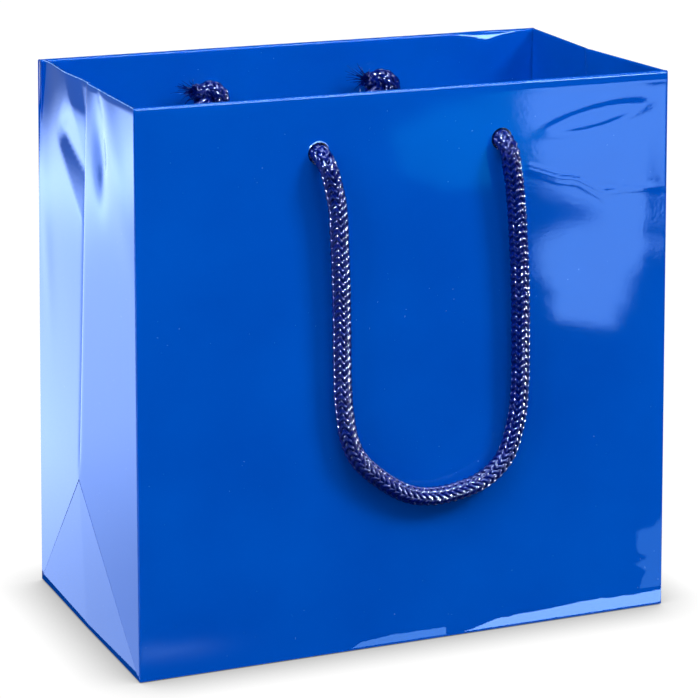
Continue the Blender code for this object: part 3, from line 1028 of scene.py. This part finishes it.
# The floor's contact shadows are painted into its glow, not cast by the lamps
SHADOW_REACH = 18 * MM
OPEN_FLOOR = 1.04  # glow of the open floor
SHADOW_FLOOR = 0.06  # glow where the floor is fully covered
CARD_LEVEL = 0.4 * MM  # cards lie just above the floor
SHARP_CARD_LEVEL = 0.5 * MM


def make_floor():
    """A pale floor that glows instead of taking light, with contact shadows painted into its glow from
    ambient occlusion, fading within SHADOW_REACH.
    """
    bpy.ops.mesh.primitive_plane_add(size=FLOOR_SIZE, location=(0, 0, -FLOOR_DROP))
    floor = bpy.context.object
    floor.name = "floor"
    n = Nodes("floor")
    n.fix("Base Color", (0, 0, 0, 1))
    n.fix("Specular IOR Level", 0.0)
    n.fix("Emission Color", (1, 1, 1, 1))
    # painted shadow: the ambient occlusion dims the floor's glow near the bag
    opening = n.add("ShaderNodeAmbientOcclusion", Distance=SHADOW_REACH).outputs["AO"]
    n.feed(n.ramp(opening, 0.0, 1.0, SHADOW_FLOOR, OPEN_FLOOR), "Emission Strength")
    floor.data.materials.append(n.material)
    floor.visible_glossy = False
    floor.visible_diffuse = False


def make_world():
    world = bpy.data.worlds.new("studio")
    bpy.context.scene.world = world
    world.use_nodes = True
    background = world.node_tree.nodes["Background"]
    background.inputs["Color"].default_value = (1.0, 1.0, 1.0, 1.0)
    background.inputs["Strength"].default_value = 0.34
    world.cycles_visibility.glossy = False


def area_light(name, at, look, size, power, glints):
    """A lamp that either only shades or only shows up in reflections."""
    data = bpy.data.lights.new(name, "AREA")
    data.shape = "RECTANGLE"
    data.size, data.size_y = size
    data.energy = power
    light = bpy.data.objects.new(name, data)
    bpy.context.scene.collection.objects.link(light)
    aim = (Vector(look) - Vector(at)).to_track_quat("-Z", "Y").to_matrix().to_4x4()
    light.matrix_world = Matrix.Translation(at) @ aim
    light.visible_camera = False
    light.visible_diffuse = not glints
    light.visible_glossy = glints


def glow_material(name, strength, color):
    """A material that only glows, by its mesh's own attribute."""
    n = Nodes(name)
    n.fix("Base Color", (0, 0, 0, 1))
    n.fix("Specular IOR Level", 0.0)
    n.fix("Emission Color", (*color, 1))
    n.feed(n.math("MULTIPLY", n.attribute("glow"), strength), "Emission Strength")
    return n.material


def reflected_only(obj):
    """Keeps a studio card out of everything but reflections."""
    obj.visible_camera = False
    obj.visible_diffuse = False
    obj.visible_shadow = False
    obj.visible_transmission = False


def glow_mesh(name, points, faces, glow, strength, color):
    obj = link_mesh(name, points, faces, [glow_material(name, strength, color)])
    layer = obj.data.attributes.new("glow", "FLOAT", "POINT")
    layer.data.foreach_set("value", np.asarray(glow, np.float32))
    reflected_only(obj)


def ragged_card(name, outline, strength, color, raggedness):
    """A bright card with a torn-looking outline."""
    rng = np.random.default_rng(len(outline))
    corners = np.array(outline)
    torn = []
    for a, b in zip(corners, np.roll(corners, -1, axis=0)):
        count = max(1, int(np.linalg.norm(b - a) / (1.6 * raggedness)))
        for share in np.arange(count) / count:
            jog = rng.uniform(-0.5, 0.5, 2) * raggedness
            torn.append(tuple(a + (b - a) * share + jog))
    points = [(x, y, SHARP_CARD_LEVEL) for x, y in torn]
    glow_mesh(name, points, [tuple(range(len(points)))], [1.0] * len(points), strength, color)


def foot_ribbon(name, start, end, height, strength, color):
    """A bright ribbon that stands just before the front wall's foot, with a torn upper edge."""
    count = 40
    rng = np.random.default_rng(7)
    x = np.linspace(start, end, count)
    share = np.linspace(0, 1, count)
    ends = smoothstep(0, 0.12, share) * (1 - 0.4 * smoothstep(0.5, 0.0, share))
    z = height * ends * (1 + 0.07 * rng.uniform(-1, 1, count)) + 0.2 * MM
    y = -HALF_DEPTH - 1.5 * MM
    points = [(a, y, 0.1 * MM) for a in x] + [(a, y, b) for a, b in zip(x, z)]
    faces = [(k, k + 1, k + count + 1, k + count) for k in range(count - 1)]
    glow_mesh(name, points, faces, [1.0] * len(points), strength, color)


def soft_card(name, x, y, glow, strength, color=(1.0, 1.0, 1.0)):
    """A bright card on the floor whose glow changes over it."""
    grid_x, grid_y = np.meshgrid(x, y)
    points = np.stack([grid_x, grid_y, CARD_LEVEL + 0 * grid_x], axis=-1).reshape(-1, 3)
    wide = len(x)
    faces = []
    for i in range(len(y) - 1):
        for j in range(wide - 1):
            a = i * wide + j
            faces.append((a, a + 1, a + wide + 1, a + wide))
    glow_mesh(name, points, faces, glow(grid_x, grid_y).ravel(), strength, color)


def window_glow(x, y):
    """Fades the card beside the gusset towards its far edge, brightest where the top looks."""
    far = 1 - smoothstep(0.80, 1.02, y)
    near = 0.55 + 0.45 * smoothstep(-0.02, 0.22, y)
    bright = 1 + 0.7 * np.exp(-(((x + 0.36) / 0.14) ** 2) - ((y - 0.66) / 0.12) ** 2)
    return (0.13 + 0.87 * far) * near * bright


def side_glow(x, y):
    """Fades a card towards its left and front edges."""
    return smoothstep(-0.95, -0.75, x) * smoothstep(-0.60, -0.5, y)


def spot_glow(at, size):
    """A round spot of light on a card."""
    return lambda x, y: np.exp(-(((x - at[0]) / size[0]) ** 2) - ((y - at[1]) / size[1]) ** 2)


# Outlines of the cards that the front wall mirrors, in metres on the floor
PATCH_EDGE = [
    (0.375, -0.703), (0.394, -0.740), (0.422, -0.799), (0.447, -0.855), (0.470, -0.911),
    (0.501, -0.969), (0.526, -1.030),
]
BRIGHT_PATCH = [
    *PATCH_EDGE, (0.60, -1.10), (0.72, -1.10), (0.50, -0.76), (0.422, -0.646), (0.397, -0.601),
    (0.360, -0.553), (0.360, -0.532), (0.333, -0.500), (0.305, -0.465), (0.277, -0.427),
    (0.256, -0.386), (0.241, -0.374), (0.224, -0.396), (0.252, -0.447), (0.272, -0.503),
    (0.303, -0.557), (0.328, -0.582), (0.361, -0.605), (0.365, -0.650),
]
FAINT_PATCH = [
    *PATCH_EDGE[::-1], (0.348, -0.707), (0.315, -0.705), (0.321, -0.775), (0.350, -0.850),
    (0.379, -0.912), (0.450, -0.996),
]
CORNER_PATCH = [
    (0.129, -0.123), (0.110, -0.112), (0.099, -0.088), (0.084, -0.060), (0.128, -0.060),
    (0.150, -0.105),
]


def make_cards():
    """Cards whose reflections draw the pale patches on the gloss paper."""
    soft_card(
        "gusset_card", np.linspace(-1.5, -0.084, 50), np.linspace(-0.25, 2.6, 90),
        window_glow, 4.2, (0.41, 0.57, 1.0),
    )
    ragged_card("front_card", BRIGHT_PATCH, 5.9, (0.68, 0.88, 1.15), 0.006)
    ragged_card("faint_card", FAINT_PATCH, 1.4, (0.02, 0.95, 1.2), 0.009)
    ragged_card("corner_card", CORNER_PATCH, 2.2, (0.45, 0.9, 1.2), 0.004)
    soft_card(
        "foot_card", np.linspace(-0.12, -0.02, 24), np.linspace(-0.10, -0.05, 24),
        spot_glow((-0.068, -0.067), (0.014, 0.008)), 1.2,
    )
    foot_ribbon("strip_ribbon", 0.018, 0.110, 3.6 * MM, 13.5, (0.9, 0.95, 1.0))
    foot_ribbon("strip_end_ribbon", -0.018, 0.012, 2.2 * MM, 6.0, (0.6, 0.85, 1.0))
    soft_card(
        "corner_side_card", np.linspace(-0.95, -0.22, 20), np.linspace(-0.60, -0.04, 20),
        side_glow, 2.6, (0.6, 0.8, 1.0),
    )


def make_lights():
    area_light("key", (0.9, -0.9, 1.2), (0, 0, 0.08), (0.45, 0.45), 18.5, False)
    area_light("fill", (-1.3, -0.4, 1.1), (0, 0, 0.08), (1.0, 1.0), 15.0, False)
    area_light("sky", (-0.15, -0.75, 1.7), (0, 0, 0.1), (1.0, 1.0), 20.5, False)
    area_light("overhead_strip", (0.0, -0.35, 1.6), (0, 0, 0.1), (1.6, 0.30), 60.0, True)
    area_light("left_glint", (-1.25, -0.92, 1.25), (0, 0, 0.08), (0.22, 0.22), 240.0, True)
    area_light("right_glint", (1.7, -0.92, 0.38), (0, 0, 0.08), (0.22, 0.22), 190.0, True)
    area_light("front_panel", (0.85, -2.1, 0.42), (0, 0, 0.1), (1.1, 0.25), 25.0, True)


make_floor()
make_world()
make_cards()
make_lights()
bpy.context.scene.view_settings.view_transform = "Standard"
